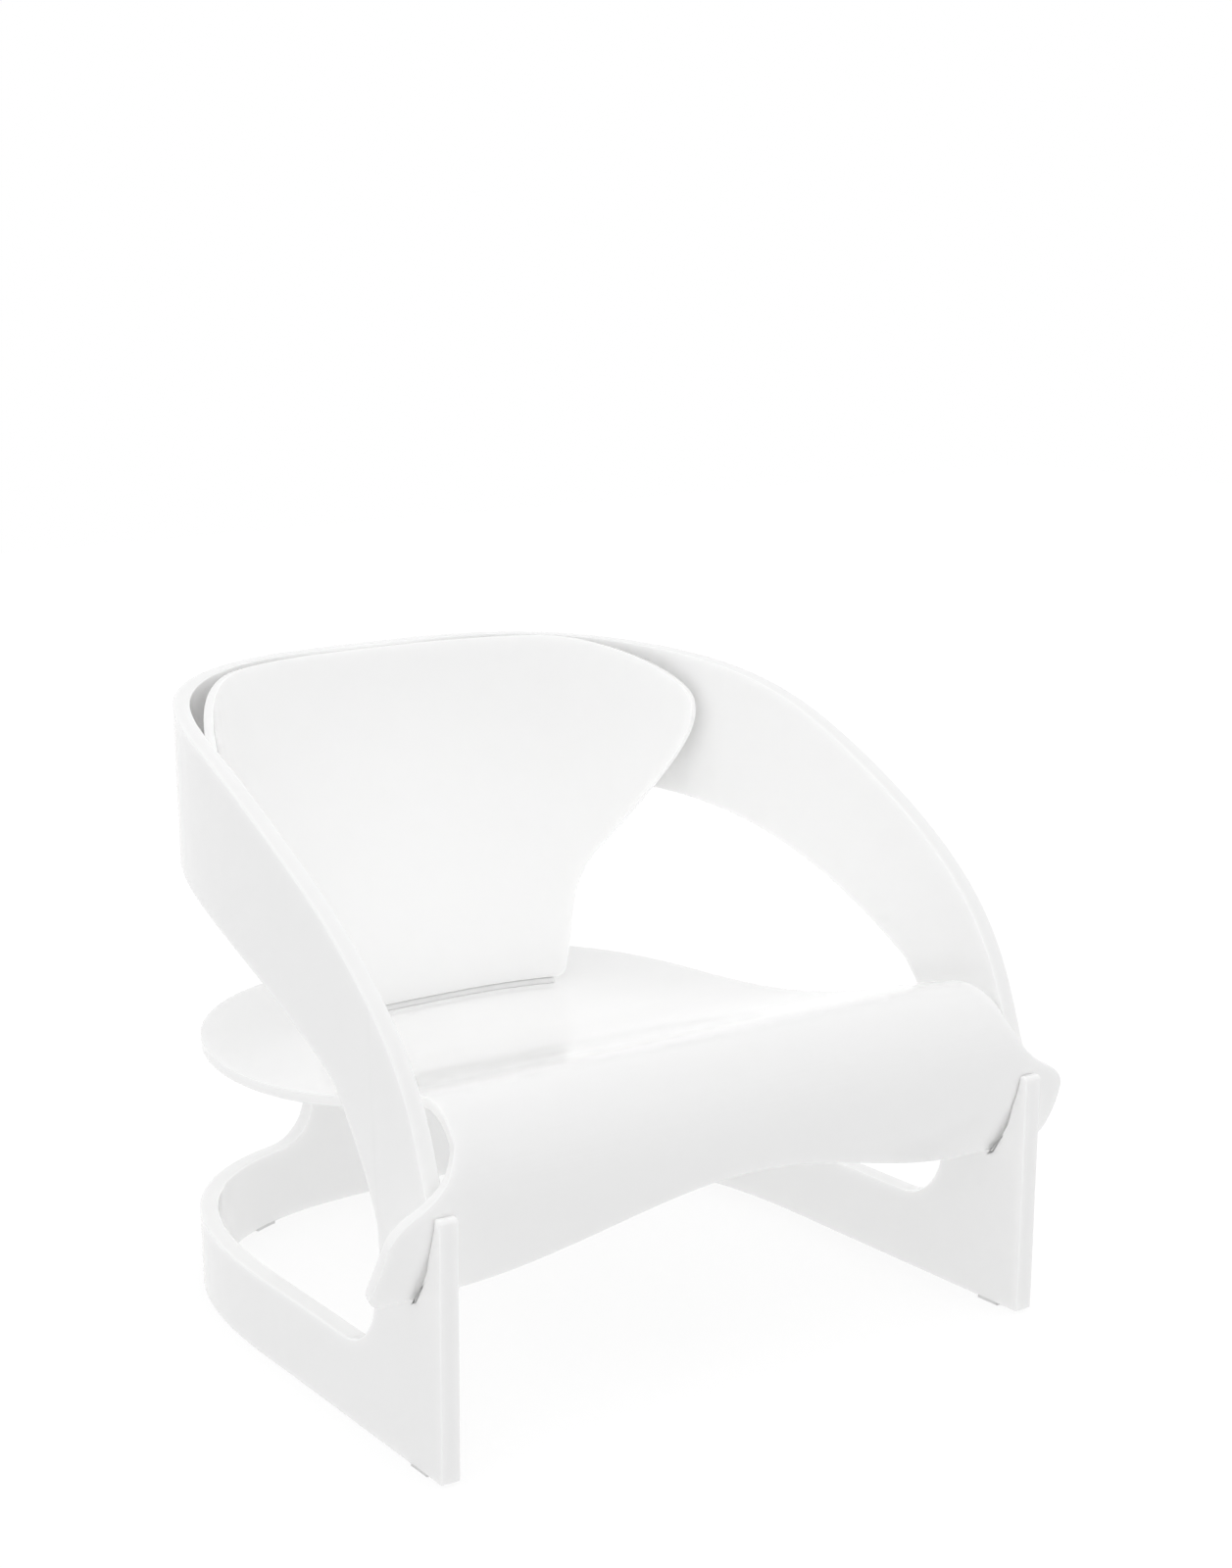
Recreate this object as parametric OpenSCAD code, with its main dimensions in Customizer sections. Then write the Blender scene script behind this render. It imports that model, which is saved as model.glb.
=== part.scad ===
// Low lounge armchair of four interlocking sheets of glossy white plastic, on four glide pads.
// All measures are in millimetres. Along the depth they count from the front feet, rearwards.

/* [Base] */
// Thickness of the base wall
base_wall = 17.5; // [15:0.5:22]
// Width of the base over its front feet
base_width = 630; // [580:5:680]
// Angle by which each side of the base closes towards the rear
base_taper = 0.96; // [0:0.02:1.6]
// Length of the straight sides, from the front feet
base_straight = 278; // [220:2:320]
// Depth of the base, from its front feet to its rear
base_depth = 661; // [610:1:710]
// Squareness of the rear curve of the base, where 2 is an ellipse
base_square = 2.76; // [2.4:0.02:3.2]
// Height of the low wall over the floor
low_wall = 76; // [60:1:84]
// Height of the front legs over the floor
leg_height = 230.5; // [206:0.5:242]
// Distance that each leg leans forward at its top
leg_lean = 10.5; // [6:0.5:16]
// Depth of a leg under the seat's front
leg_depth = 105; // [96:1:130]
// Radius of the inner corner between a leg and the low wall
leg_fillet = 60; // [30:1:62]
// Radius of the rounded corners at the front and rear ends of the legs' tops
leg_corner = 4; // [1:0.5:4.5]
// Radius of the legs' top corner against the apron
prong_corner = 2; // [0.5:0.5:3]
// Width of the rear neck that carries the seat
neck_width = 184; // [120:2:240]
// Radius of the corners at the foot of the neck
neck_fillet = 45; // [20:1:60]

/* [Glide pads] */
// Thickness of the glide pads
pad_thick = 3; // [2:0.5:6]
// Length of a glide pad along the wall
pad_length = 26; // [20:1:50]
// Distance from the front feet to the front pads
front_pad_place = 28; // [5:1:40]
// Distance from the centre plane to the rear pads
rear_pad_place = 150; // [100:2:190]
// Distance that the pads stay inside each face of the wall
pad_inset = 1.5; // [1:0.25:4]

/* [Seat] */
// Thickness of the seat sheet
seat_sheet = 10; // [6:0.5:12]
// Height by which the rolled front stands furthest forward above the legs' tops
roll_rise = 16.5; // [10:0.5:21]
// Height of the seat's highest line above that
crest_rise = 61; // [45:1:80]
// Distance from the front feet to the highest line
crest_place = 55.5; // [48:0.5:65]
// Distance that the rolled front stands ahead of the front feet
roll_ahead = 3; // [0:0.5:6]
// Height of the seat's lowest stretch above the legs' tops
dip_rise = 2.5; // [-8:0.5:14]
// Distance from the front feet to the lowest stretch
dip_place = 480; // [440:5:500]
// Height of the seat's rear end above its lowest stretch
tail_rise = 6; // [0:0.5:12]
// Distance that the seat reaches behind the base
seat_tail = 33; // [20:1:60]
// Distance from the front feet to the start of the seat's round rear
seat_straight = 395; // [360:5:420]
// Squareness of the seat's rear curve, where 2 is an ellipse
seat_square = 2.5; // [2.2:0.05:3]
// Gap between seat and arm at the highest line
seat_gap_front = 19.5; // [13:0.5:27]
// Angle by which the seat's sides close behind the highest line
seat_closing = 5.5; // [3:0.1:8]
// Gap between seat and arm at the seat's narrow waist
seat_gap_waist = 35.5; // [27:0.5:45]
// Gap between seat and arm at the start of the round rear
seat_gap_rear = 29.5; // [21:0.5:41]
// Distance from the front feet to the narrow waist
waist_place = 205; // [170:5:260]

/* [Apron] */
// Distance from the legs' tops down to the ears' lower edge
ear_drop = 81.5; // [74:0.5:84]
// Distance that the ears reach outside the legs
ear_reach = 42; // [32:1:55]
// Distance from the legs' tops down to the ears' outer shoulder
shoulder_drop = 20.5; // [14:0.5:30]
// Distance that the ears draw in from their lower corner to their shoulder
ear_draw = 3.5; // [0:0.5:8]
// Distance from an ear's shoulder in to the middle of its sloping top
ear_top_reach = 19.5; // [14:0.5:24]
// Height of the middle of the sloping top above the shoulder
ear_top_rise = 23; // [18:0.5:28]
// Distance that the sheet widens from the highest line to the roll's side
roll_widening = 9; // [4:0.5:14]
// Distance from the highest line down to the roll's side
roll_side_drop = 33; // [26:1:38]
// Radius of the ears' lower corners
ear_corner = 15; // [8:1:22]
// Distance from the front feet to the apron's lower edge
apron_setback = 40; // [34:0.5:46]
// Angle between the apron's lower edge and an upright line
apron_slope = 36; // [30:1:42]
// Rise of the arched cutout at the middle of the apron
arch_rise = 49; // [30:1:60]
// Distance between each end of the arch and the leg's inner face
arch_inset = 17.5; // [8:0.5:40]

/* [Arms] */
// Thickness of the arm hoop's wall
arm_wall = 16; // [14:0.5:20]
// Distance that the arms stand outside the line of the front feet
arm_proud = 4.5; // [0:0.25:6]
// Distance that the arms draw in towards their feet
arm_draw = 4.5; // [0:0.25:7]
// Height above the legs' tops from which the arms spread
arm_spread_rise = 50; // [40:1:60]
// Height over which they spread
arm_spread = 140; // [100:5:160]
// Distance that the hoop's rear stays ahead of the base's rear
hoop_inset = 2.7; // [0:0.1:10]
// Length of the arms' straight sides, from the front feet
arm_straight = 173; // [140:1:220]
// Squareness of the hoop's rear curve, where 2 is an ellipse
hoop_square = 3.09; // [2.7:0.01:3.4]
// Height of the hoop's top edge above the legs' tops, at the rear
hoop_rise = 349.5; // [332:0.5:378]
// Height of the hoop's wall at the rear
hoop_band = 152; // [130:1:180]
// Distance from the front feet to the middle of the arms' top edge
arm_bend_place = 291; // [275:1:305]
// Distance from the hoop's top down to the middle of the arms' top edge
arm_bend_drop = 72.5; // [62:0.5:84]
// Distance from the rolled front's furthest line down to where the arms leave it
arm_leave_drop = 9; // [4:0.5:16]
// Angle over the floor of the arms' top edge where it leaves the roll
arm_rise_angle = 67.5; // [62:0.5:74]
// Angle over the floor of the arms' top edge at its middle
arm_bend_angle = 23.6; // [19:0.1:27]
// Angle over the floor of the arms' top edge at the rear
hoop_top_angle = 7.2; // [4:0.1:9]
// Distance from the front feet to the arms' rear edge, where they stand on the legs
arm_foot_rear = 91.5; // [85:0.5:95]
// Height of the straight stretch of that rear edge above the ears' lower edge
arm_foot_rise = 36; // [24:0.5:46]
// Distance from the front feet to the bend of the arms' lower edge
under_bend_place = 166.5; // [155:0.5:180]
// Distance from the hoop's lower edge at the rear down to that bend
under_bend_drop = 121; // [108:0.5:136]
// Angle over the floor of the arms' lower edge at its bend
under_bend_angle = 29; // [25:0.5:36]
// Angle over the floor of the hoop's lower edge at the rear
hoop_bottom_angle = 7.5; // [4:0.1:9]

/* [Back panel] */
// Thickness of the back panel
panel_sheet = 9; // [7:0.5:11]
// Angle by which the back panel leans back
panel_lean = 17.6; // [14:0.2:20]
// Gap between the panel's lower edge and the seat's lowest stretch
panel_gap = 7; // [5:0.5:14]
// Distance that the panel's top edge stays under the hoop's top edge
panel_drop = 2; // [0:0.5:12]
// Width of the panel's straight lower edge, with its corners
panel_foot_width = 278; // [270:2:296]
// Radius of the lower corners
panel_foot_corner = 12; // [5:1:16]
// Angle over the floor of the panel's sides above the lower corners
panel_side_angle = 68; // [60:1:76]
// Width of the panel at the hips, where its sides turn outwards
panel_hip_width = 373; // [350:1:395]
// Height of the hips above the lower edge
panel_hip_rise = 124.5; // [105:0.5:140]
// Angle over the floor of the panel's sides at the hips
panel_hip_angle = 48.5; // [40:0.5:60]
// Width of the panel at its widest
panel_width = 525; // [490:5:540]
// Width of the straight top edge
panel_top_width = 328; // [260:4:360]
// Height of the upper corners
panel_corner_height = 62; // [45:1:80]
// Half of the span in which the panel's plan curve closes
panel_span = 310; // [290:2:330]
// Depth of the panel's plan curve over that span
panel_round = 501; // [450:1:540]
// Squareness of the panel's plan curve, where 2 is an ellipse
panel_square = 2.8; // [2.5:0.05:3.2]

/* [Joints] */
// Clearance between sheets that slot into one another
fit = 0.3; // [0.2:0.05:0.5]
// Width of the open lower part of the leg slots, ahead of the apron
slot_gap = 4.5; // [1:0.5:7]
// Height over which the slots open out
slot_ramp = 24; // [10:1:40]
// Width of the hidden tenon under each arm
tenon_width = 26; // [14:1:28]
// Thickness of the tenon
tenon_thick = 7; // [4:0.5:8]
// Length of the tenon inside the leg
tenon_length = 28; // [15:1:45]
// Width of the panel's tongue in the seat
tongue_width = 250; // [120:5:254]
// Thickness of the tongue, at the panel's rear face
tongue_thick = 5; // [3:0.5:6]

/* [Hidden] */

// Segments of each curve
round_steps = 24;
curve_steps = 16;
corner_steps = 6;
// Room beyond the model for bodies that only cut others
room = 60;
// Depth by which two bodies of one piece run into each other
overlap = 3;

base_half = base_width / 2;
ear_bottom = leg_height - ear_drop;
ear_shoulder = leg_height - shoulder_drop;
roll_height = leg_height + roll_rise;
crest_height = roll_height + crest_rise;
dip_height = leg_height + dip_rise;
hoop_top = leg_height + hoop_rise;
hoop_bottom = hoop_top - hoop_band;
arm_half = base_half + arm_proud;
arm_inner_half = arm_half - arm_wall;
ear_half = base_half + ear_reach;
arch_half = base_half - base_wall - arch_inset;
hoop_rear = base_depth - hoop_inset;
hoop_inner_rear = hoop_rear - arm_wall;
seat_rear = base_depth + seat_tail;
crest_half = arm_inner_half - seat_gap_front;
waist_half = arm_inner_half - seat_gap_waist;
rear_half = arm_inner_half - seat_gap_rear;
shoulder = ear_bottom - fit;
slot_middle = (shoulder + leg_height) / 2;
inner_fillet = min(leg_fillet, shoulder - leg_corner - low_wall);
panel_foot = dip_height + panel_gap;
panel_top = hoop_top - panel_drop;
panel_foot_place = hoop_inner_rear - fit - panel_sheet / cos(panel_lean)
    - (panel_top - panel_foot) * tan(panel_lean);
// Along the depth, the middle of the whole chair
middle = (seat_rear - leg_lean) / 2;

function aim(angle) = [cos(angle), sin(angle)];
function reverse(path) = [for (i = [len(path) - 1 : -1 : 0]) path[i]];
function rest(path) = [for (i = [1 : len(path) - 1]) path[i]];

// Cubic curve from a to d, drawn towards b and c
function bezier(a, b, c, d) = [for (i = [0 : curve_steps])
    let (t = i / curve_steps, s = 1 - t)
    s * s * s * a + 3 * s * s * t * b + 3 * s * t * t * c + t * t * t * d];

// Cubic curve that leaves a at one angle and reaches d at another, where each pull is the share
// of the straight way from a to d for which it holds its angle
function bend(a, a_angle, a_pull, d, d_angle, d_pull) = let (way = norm(d - a))
    bezier(a, a + way * a_pull * aim(a_angle), d - way * d_pull * aim(d_angle), d);

function arc(centre, radius, from, to) = [for (i = [0 : corner_steps])
    centre + radius * aim(from + (to - from) * i / corner_steps)];

// Quarter of a superellipse, from its side to its rear
function quarter(half, depth, square) = [for (i = [0 : round_steps])
    let (turn = 90 * i / round_steps)
    [half * pow(cos(turn), 2 / square), depth * pow(sin(turn), 2 / square)]];

function shift(path, by) = [for (p = path) p + by];

// Half outline on the +X side, with its mirror image joined on
function both_sides(half) =
    concat(half, [for (p = rest(reverse(half))) [-p.x, p.y]]);

// Path at a distance to the left of another
function beside(path, distance) = [for (i = [0 : len(path) - 1])
    let (ahead = path[min(i + 1, len(path) - 1)], behind = path[max(i - 1, 0)],
        way = (ahead - behind) / norm(ahead - behind))
    path[i] + distance * [-way.y, way.x]];

function band(path, near, far) = concat(beside(path, near), reverse(beside(path, far)));

// Plans of the two upright walls, as paths along their outer faces
base_quarter = quarter(base_half - base_straight * tan(base_taper),
    base_depth - base_straight, base_square);
base_path = both_sides(concat([[base_half + leg_lean * tan(base_taper), -leg_lean]],
    shift(base_quarter, [0, base_straight])));
hoop_quarter = quarter(arm_half, hoop_rear - arm_straight, hoop_square);
hoop_path = both_sides(concat([[arm_half, 0]], shift(hoop_quarter, [0, arm_straight])));
hoop_plan = band(hoop_path, 0, arm_wall);
// Share of its full width to which the hoop closes at its feet
foot_share = 1 - arm_draw / arm_half;
foot_plan = [for (p = hoop_plan) [foot_share * p.x, p.y]];
spread_height = leg_height + arm_spread_rise;

// Section of the seat's upper face, from the apron's lower edge to the seat's rear
apron_low = [apron_setback, ear_bottom];
roll_front = [-roll_ahead, roll_height];
apron_curve = bend(apron_low, 90 + apron_slope, 0.467, roll_front, 90, 0.252);
roll_curve = [for (i = [1 : curve_steps]) let (turn = 180 - 90 * i / curve_steps)
    [crest_place + (crest_place + roll_ahead) * cos(turn),
        roll_height + (crest_height - roll_height) * sin(turn)]];
dip = [dip_place, dip_height];
slope_curve = bend([crest_place, crest_height], 0, 0.125, dip, 0, 0.54);
tail_curve = bend(dip, 0, 0.327, [seat_rear + fit, dip_height + tail_rise], 2, 0.327);
apron_end = apron_low - 2 * seat_sheet * aim(90 + apron_slope);
seat_section = concat([apron_end], apron_curve, roll_curve, rest(slope_curve), rest(tail_curve));

// Place where a rising path crosses a height
function crossing(path, height) = [for (i = [1 : len(path) - 1])
    let (a = path[i - 1], b = path[i])
    if (a.y <= height && b.y > height) a + (b - a) * (height - a.y) / (b.y - a.y)][0];

// The part of a rising path between two heights, with no point close to its ends
function stretch(path, low, high) = concat([crossing(path, low)],
    [for (p = path) if (p.y > low + 1 && p.y < high - 1) p], [crossing(path, high)]);

// Rear edge of the leg's prong: close to the apron at its top, wider lower down
function opening(height) =
    let (share = max(0, min(1, (slot_middle - height) / slot_ramp + 0.5)))
    fit + (slot_gap - fit) * (1 - cos(180 * share)) / 2;
apron_front = concat([apron_end], apron_curve, roll_curve);
prong_rear = [for (p = stretch(apron_front, shoulder, leg_height - prong_corner))
    p - [opening(p.y), 0]];

// Front edge of the arm's foot, behind the apron, up to where it leaves the roll
foot_front = stretch(beside(apron_front, -seat_sheet - fit), ear_bottom,
    roll_height - arm_leave_drop);

module placed() translate([0, -middle, 0]) children();

// Section in depth and height, drawn out across the chair
module across(points)
    rotate([90, 0, 90]) linear_extrude(2 * (ear_half + room), center = true) polygon(points);

// Outline in width and height, drawn out along the depth
module along(points, front, rear)
    translate([0, rear, 0]) rotate([90, 0, 0]) linear_extrude(rear - front) polygon(points);

module upright(points, low, high)
    translate([0, 0, low]) linear_extrude(high - low) polygon(points);

// Side view of the legs and the low wall
module leg_section() {
    front_top = [-leg_lean, leg_height];
    rear_top = [prong_rear[len(prong_rear) - 1].x, leg_height];
    across(concat(
        [[0, pad_thick], [base_depth + room, pad_thick], [base_depth + room, low_wall]],
        arc([leg_depth + inner_fillet, low_wall + inner_fillet], inner_fillet, 270, 180),
        arc([leg_depth - leg_corner, shoulder - leg_corner], leg_corner, 0, 90),
        prong_rear,
        rest(arc(rear_top - prong_corner * [1, 1], prong_corner, 0, 90)),
        arc(front_top + leg_corner * [1, -1], leg_corner, 90, 180)));
}

// Rear neck, cut to the underside of the seat
module neck() {
    half = neck_width / 2;
    underside = beside(concat(slope_curve, rest(tail_curve)), -seat_sheet - fit);
    intersection() {
        along(both_sides(concat([[0, pad_thick], [half + neck_fillet, pad_thick]],
            arc([half + neck_fillet, low_wall + neck_fillet], neck_fillet, 270, 180),
            [[half, crest_height], [0, crest_height]])),
            base_depth - room, base_depth + room);
        across(concat([[dip_place, 0]], [for (p = underside) if (p.x > dip_place) p],
            [[seat_rear + room, dip_height], [seat_rear + room, 0]]));
    }
}

// Hidden tenon of an arm, grown by the clearance where it is a pocket
module tenon(side, grow) {
    face = base_half - base_wall / 2;
    middle_place = (foot_front[0].x + arm_foot_rear) / 2;
    low = ear_bottom - tenon_length - grow;
    translate([side * face, middle_place, (low + ear_bottom + overlap) / 2])
        cube([tenon_thick + 2 * grow, tenon_width + 2 * grow, ear_bottom + overlap - low],
            center = true);
}

module base_frame() color("whitesmoke") placed() difference() {
    intersection() {
        upright(band(base_path, 0, base_wall), 0, crest_height);
        union() {
            leg_section();
            neck();
        }
    }
    for (side = [-1, 1]) tenon(side, fit);
}

// Front view of the apron with its ears and its arch
module apron_outline() {
    arch = [for (i = [0 : round_steps]) let (x = arch_half * i / round_steps)
        [x, ear_bottom + arch_rise * (1 + cos(180 * x / arch_half)) / 2]];
    ear_low = [ear_half, ear_bottom + ear_corner];
    ear_high = [ear_half - ear_draw, ear_shoulder];
    ear_top = ear_high + [-ear_top_reach, ear_top_rise];
    roll_side = [crest_half + roll_widening, crest_height - roll_side_drop];
    crest_end = [crest_half, crest_height - seat_sheet];
    along(both_sides(concat(arch,
        arc(ear_low - [ear_corner, 0], ear_corner, -90, 0),
        rest(bend(ear_low, 90, 0.33, ear_high, 97, 0.33)),
        rest(bend(ear_high, 97, 0.3, ear_top, 152, 0.3)),
        rest(bend(ear_top, 152, 0.4, roll_side, 113, 0.4)),
        rest(bend(roll_side, 113, 0.35, crest_end, 106, 0.35)),
        [[crest_half, crest_height + room], [0, crest_height + room]])),
        -room, crest_place);
}

// Plan of the seat behind its highest line
module seat_outline() {
    waist = [waist_half, waist_place];
    rear_start = [rear_half, seat_straight];
    upright(both_sides(concat(
        bend([crest_half, crest_place], 90 + seat_closing, 0.33, waist, 90, 0.33),
        rest(bend(waist, 90, 0.32, rear_start, 90, 0.32)),
        rest(shift(quarter(rear_half, seat_rear - seat_straight, seat_square),
            [0, seat_straight])))),
        dip_height - room, crest_height + room);
}

module seat_shell() color("white") placed() difference() {
    intersection() {
        across(band(seat_section, 0, -seat_sheet));
        union() {
            apron_outline();
            seat_outline();
        }
    }
    tongue(fit);
}

// Wall of the hoop, which spreads from its feet to its full width
module hoop_wall() {
    upright(foot_plan, 0, spread_height);
    translate([0, 0, spread_height])
        linear_extrude(arm_spread, scale = [1 / foot_share, 1], slices = 1) polygon(foot_plan);
    upright(hoop_plan, spread_height + arm_spread, hoop_top + room);
}

module arm_hoop() color("ghostwhite") placed() {
    rise_start = foot_front[len(foot_front) - 1];
    arm_bend = [arm_bend_place, hoop_top - arm_bend_drop];
    top_end = [hoop_rear + fit, hoop_top];
    under_start = [arm_foot_rear, ear_bottom + arm_foot_rise];
    under_bend = [under_bend_place, hoop_bottom - under_bend_drop];
    under_end = [hoop_rear + fit, hoop_bottom];
    intersection() {
        hoop_wall();
        across(concat(
            foot_front,
            rest(bend(rise_start, arm_rise_angle, 0.2, arm_bend, arm_bend_angle, 0.729)),
            rest(bend(arm_bend, arm_bend_angle, 0.343, top_end, hoop_top_angle, 0.448)),
            [[hoop_rear + room, hoop_top], [hoop_rear + room, hoop_bottom]],
            reverse(bend(under_bend, under_bend_angle, 0.5, under_end, hoop_bottom_angle, 0.12)),
            rest(reverse(bend(under_start, 95, 0.2, under_bend, under_bend_angle, 0.1))),
            [[arm_foot_rear, ear_bottom]]));
    }
    for (side = [-1, 1]) intersection() {
        tenon(side, 0);
        upright(foot_plan, 0, spread_height);
    }
}

// The panel's curved sheet between two depths from its front face, leaning back
module leaning_sheet(near, far) {
    side_turn = 60;
    half = [for (i = [round_steps : -1 : 0]) let (turn = side_turn * i / round_steps)
        [panel_span * pow(sin(turn), 2 / panel_square),
            -panel_round * (1 - pow(cos(turn), 2 / panel_square))]];
    translate([0, panel_foot_place, panel_foot]) rotate([-panel_lean, 0, 0])
        upright(band(both_sides(half), -near, -far), -panel_round / 4, hoop_top);
}

// Tongue at the panel's lower edge, grown by the clearance where it is a slot
module tongue(grow) {
    half = tongue_width / 2 + grow;
    low = dip_height - seat_sheet - grow;
    high = panel_foot + overlap;
    intersection() {
        leaning_sheet(panel_sheet - tongue_thick - grow, panel_sheet + grow);
        along(both_sides([[0, low], [half, low], [half, high], [0, high]]),
            panel_foot_place - room, hoop_inner_rear);
    }
}

// Front view of the back panel
module panel_outline() {
    foot_half = panel_foot_width / 2;
    side_half = panel_width / 2;
    top_half = panel_top_width / 2;
    hip = [panel_hip_width / 2, panel_foot + panel_hip_rise];
    corner = arc([foot_half - panel_foot_corner, panel_foot + panel_foot_corner],
        panel_foot_corner, -90, panel_side_angle - 90);
    foot_end = corner[len(corner) - 1];
    corner_start = panel_top - panel_corner_height;
    along(both_sides(concat([[0, panel_foot]], corner,
        rest(bend(foot_end, panel_side_angle, 0.355, hip, panel_hip_angle, 0.42)),
        rest(bend(hip, panel_hip_angle, 0.25, [side_half, corner_start], 90, 0.292)),
        [for (i = [1 : curve_steps]) let (turn = 90 * i / curve_steps)
            [top_half + (side_half - top_half) * cos(turn),
                corner_start + panel_corner_height * sin(turn)]],
        [[0, panel_top]])),
        0, base_depth);
}

module back_panel() color("snow") placed() {
    intersection() {
        leaning_sheet(0, panel_sheet);
        panel_outline();
        upright(beside(hoop_path, arm_wall + fit), 0, hoop_top + room);
    }
    tongue(0);
}

// Stretch of a pad's plan, inside the faces of the wall
module pad_ring() upright(band(base_path, pad_inset, base_wall - pad_inset), 0, pad_thick);

module front_glide(side) color("gainsboro") placed() intersection() {
    pad_ring();
    translate([side * base_half - room, front_pad_place, -room])
        cube([2 * room, pad_length, 2 * room]);
}

module rear_glide(side) color("gainsboro") placed() intersection() {
    pad_ring();
    translate([side * (rear_pad_place + pad_length / 2) - pad_length / 2, base_straight, -room])
        cube([pad_length, base_depth, 2 * room]);
}

base_frame();
seat_shell();
arm_hoop();
back_panel();
front_glide(-1);  // glide_front_left
front_glide(1);  // glide_front_right
rear_glide(-1);  // glide_rear_left
rear_glide(1);  // glide_rear_right
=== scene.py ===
import math

import bmesh
import bpy
from mathutils import Matrix, Vector


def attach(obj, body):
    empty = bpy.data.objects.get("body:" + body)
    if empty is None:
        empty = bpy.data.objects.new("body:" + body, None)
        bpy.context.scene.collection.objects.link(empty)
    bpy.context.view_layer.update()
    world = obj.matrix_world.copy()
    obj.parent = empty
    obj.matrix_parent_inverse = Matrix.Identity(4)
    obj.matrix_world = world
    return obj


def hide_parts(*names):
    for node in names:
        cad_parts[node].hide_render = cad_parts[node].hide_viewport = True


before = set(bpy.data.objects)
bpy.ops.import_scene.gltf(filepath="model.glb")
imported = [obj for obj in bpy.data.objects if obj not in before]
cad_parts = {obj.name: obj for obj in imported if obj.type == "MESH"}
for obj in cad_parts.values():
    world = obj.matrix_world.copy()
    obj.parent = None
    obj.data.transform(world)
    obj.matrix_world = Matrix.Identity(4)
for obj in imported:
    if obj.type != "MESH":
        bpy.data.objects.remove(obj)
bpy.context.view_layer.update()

# Lengths are millimetres in flat sheets and plans, and metres in finished meshes and the studio.
# A point of a plan has the width from the middle and the depth behind the front feet. One of a
# section or a side view has the depth and the height over the floor, and one of a front view has
# the width and the height. Angles are degrees unless their line turns them to radians.
MM = 0.001
# Distance between the points of a curve, and the steps or degrees of those that are arcs
STEP = 3.0
QUARTER_STEPS = 200
REAR_STEPS = 90
CORNER_STEPS = 6
ROLL_TURN = 2
PANEL_TURN = 3
# Rounding of each sheet's edges, and of the corners of its outline that are otherwise sharp
THICK_EDGE = 1.4
THIN_EDGE = 1.2
EDGE_SEGMENTS = 4
OUTLINE_CORNER = 3.0
SHARP = 20.0
# Distance between the scores that let a flat sheet bend
WALL_SCORE = 6
SEAT_SCORE = 4
PANEL_SCORE = 5
# Points closer than this are one point, and a score takes in what is this close to it
SAME_POINT = 0.01
SCORE_REACH = 0.001

# Clearance between sheets that slot into one another
FIT = 0.3
# Distance from the front feet to the middle of the chair's depth
MIDDLE = 341.75

# A turn holds a curve's angle at a point, and how far the curve keeps to it before and after the
# point, as a share of the straight way to the next point on that side.

# Base wall. Its plan runs on ahead of the feet, because the legs lean forward.
BASE_WALL = 17.5
BASE_HALF = 315.0
BASE_TAPER = math.radians(0.96)
BASE_STRAIGHT = 278.0
BASE_DEPTH = 661.0
BASE_SQUARE = 2.76
BASE_AHEAD = -30.0
LOW_WALL = 76.0
LEG_HEIGHT = 230.5
LEG_CORNER = 4.0
PRONG_CORNER = 2.0
LEG_LEAN = 10.2
LEG_DEPTH = 105.0
LEG_FILLET = 60.0
NECK_HALF = 92.0
NECK_FILLET = 45.0

# Glide pads
PAD_THICK = 3.0
PAD_EDGE = 0.6
PAD_LENGTH = 26.0
FRONT_PAD_PLACE = 28.0
REAR_PAD_PLACE = 150.0
PAD_INSET = 1.5

# Seat sheet, along its section: the apron's lower edge, the roll, the highest line, the lowest
# stretch and the rear edge
SEAT_SHEET = 10.0
APRON_LOW = Vector((40.0, 149.0))
APRON_LOW_TURN = (126.0, 0, 0.467)
APRON_PAST = 20
ROLL_FRONT = Vector((-3.0, 247.0))
ROLL_FRONT_TURN = (90, 0.252, 0)
CREST = Vector((55.5, 308.0))
CREST_TURN = (0, 0, 0.125)
DIP = Vector((480.0, 233.0))
DIP_TURN = (0, 0.54, 0.327)
SEAT_REAR = 693.6
TAIL_HEIGHT = 239.0
TAIL_TURN = (2, 0.327, 0)
# Seat sheet, its sides: half widths and depths
CREST_HALF = 283.5
CREST_HALF_TURN = (95.5, 0, 0.33)
WAIST = Vector((268.0, 205.0))
WAIST_TURN = (90, 0.33, 0.32)
REAR_HALF = 274.0
REAR_HALF_TURN = (90, 0.32, 0)
SEAT_STRAIGHT = 395.0
SEAT_SQUARE = 2.5
# Seat sheet, its ears and apron in front view
EAR_HALF = 357.0
EAR_CORNER = 15.0
EAR_LOW_TURN = (90, 0, 0.33)
EAR_HIGH = Vector((353.5, 210.0))
EAR_HIGH_TURN = (97, 0.33, 0.3)
EAR_TOP = Vector((334.0, 233.0))
EAR_TOP_TURN = (152, 0.3, 0.4)
ROLL_SIDE = Vector((292.5, 275.0))
ROLL_SIDE_TURN = (113, 0.4, 0.3)
ROLL_OVER = Vector((288.4, 285.0))
ROLL_OVER_TURN = (96.7, 0.3, 0)
ARCH_HALF = 280.0
ARCH_RISE = 49.0
ARCH_STEPS = 60
SLOT_GAP = 4.5
SLOT_RAMP = 24.0

# Arm hoop, its plan and how its feet are drawn in
ARM_WALL = 16.0
ARM_HALF = 319.5
ARM_DRAW = 4.5
SPREAD_START = 280.5
SPREAD = 140.0
HOOP_REAR = 658.3
ARM_STRAIGHT = 173.0
HOOP_SQUARE = 3.09
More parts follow.
